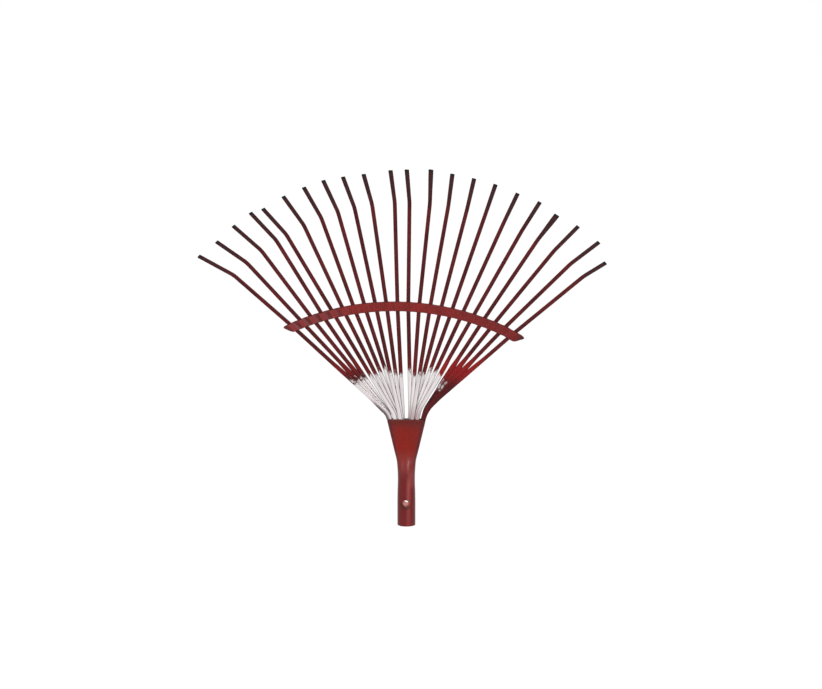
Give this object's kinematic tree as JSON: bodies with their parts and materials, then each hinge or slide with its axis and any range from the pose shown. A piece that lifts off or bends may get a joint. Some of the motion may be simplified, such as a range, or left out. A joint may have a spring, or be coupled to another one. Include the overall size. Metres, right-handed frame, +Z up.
{
  "type": "leaf rake head",
  "caption": "Fan-shaped leaf rake head: flat spring-steel tines with bent tips, a pressed stay bar across them and a round sheet socket for a handle.",
  "frame": {"origin": "centre of the socket's open end, where the handle goes in", "axes": "+Z up the socket's axis towards the fan, +X to the right of the fan seen from the front, -Y to the front, the way the tips are bent"},
  "size_m": [0.529, 0.0638, 0.483],
  "materials": {
    "socket_paint": "glossy red enamel, rubbed thin at the edges",
    "bar_paint": "glossy red enamel",
    "tine_paint": "thin dark red enamel over spring steel, bare and bright near the socket",
    "weld_steel": "bare weld metal"
  },
  "bodies": {
    "root": {"socket": "socket_paint", "root_weld": "weld_steel", "bar_front": "bar_paint", "bar_rear": "bar_paint", "tine_01": "tine_paint", "tine_02": "tine_paint", "tine_03": "tine_paint", "tine_04": "tine_paint", "tine_05": "tine_paint", "tine_06": "tine_paint", "tine_07": "tine_paint", "tine_08": "tine_paint", "tine_09": "tine_paint", "tine_10": "tine_paint", "tine_11": "tine_paint", "tine_12": "tine_paint", "tine_13": "tine_paint", "tine_14": "tine_paint", "tine_15": "tine_paint", "tine_16": "tine_paint", "tine_17": "tine_paint", "tine_18": "tine_paint", "tine_19": "tine_paint", "tine_20": "tine_paint", "tine_21": "tine_paint", "tine_22": "tine_paint"}
  },
  "joints": []
}
